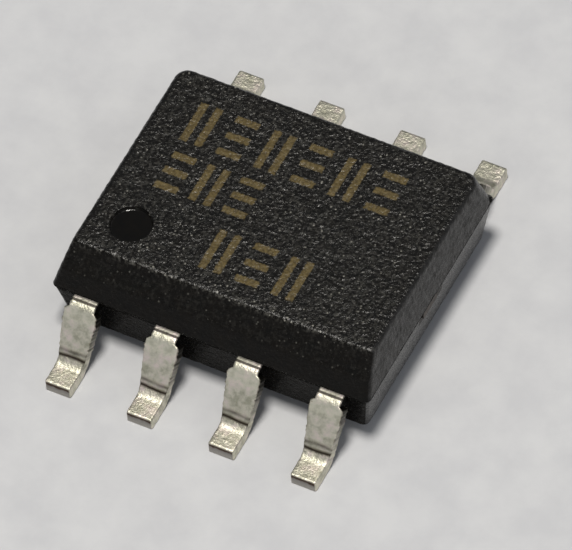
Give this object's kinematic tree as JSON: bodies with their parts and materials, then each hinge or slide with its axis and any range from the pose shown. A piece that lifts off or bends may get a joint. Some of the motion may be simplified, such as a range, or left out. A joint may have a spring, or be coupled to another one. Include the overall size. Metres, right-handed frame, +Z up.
{
  "type": "small outline integrated circuit",
  "caption": "Small outline chip: a black moulded body with a bevelled side and an index dimple, and gull wing leads along both long sides to solder on a board.",
  "frame": {"origin": "centre of the outline, on the plane that the feet stand on", "axes": "+X along the rows of leads, from lead 1 to lead 4; +Y across the rows, from the bevelled side with leads 1 to 4 to leads 5 to 8; +Z up from the board through the top face"},
  "size_m": [0.005, 0.006, 0.0016],
  "materials": {
    "mould_compound": "spark eroded matt top, smoother sides",
    "tin_plate": "matt tin plate over copper",
    "copper_frame": "rolled copper strip",
    "silver_epoxy": "cured silver filled adhesive",
    "silicon": "polished silicon",
    "gold_wire": "drawn gold wire"
  },
  "bodies": {
    "root": {"moulded_body": "mould_compound", "lead_1": "tin_plate", "lead_2": "tin_plate", "lead_3": "tin_plate", "lead_4": "tin_plate", "lead_5": "tin_plate", "lead_6": "tin_plate", "lead_7": "tin_plate", "lead_8": "tin_plate", "die_paddle": "copper_frame", "die_attach": "silver_epoxy", "die": "silicon", "bond_wire_1": "gold_wire", "bond_wire_2": "gold_wire", "bond_wire_3": "gold_wire", "bond_wire_4": "gold_wire", "bond_wire_5": "gold_wire", "bond_wire_6": "gold_wire", "bond_wire_7": "gold_wire", "bond_wire_8": "gold_wire"}
  },
  "joints": []
}
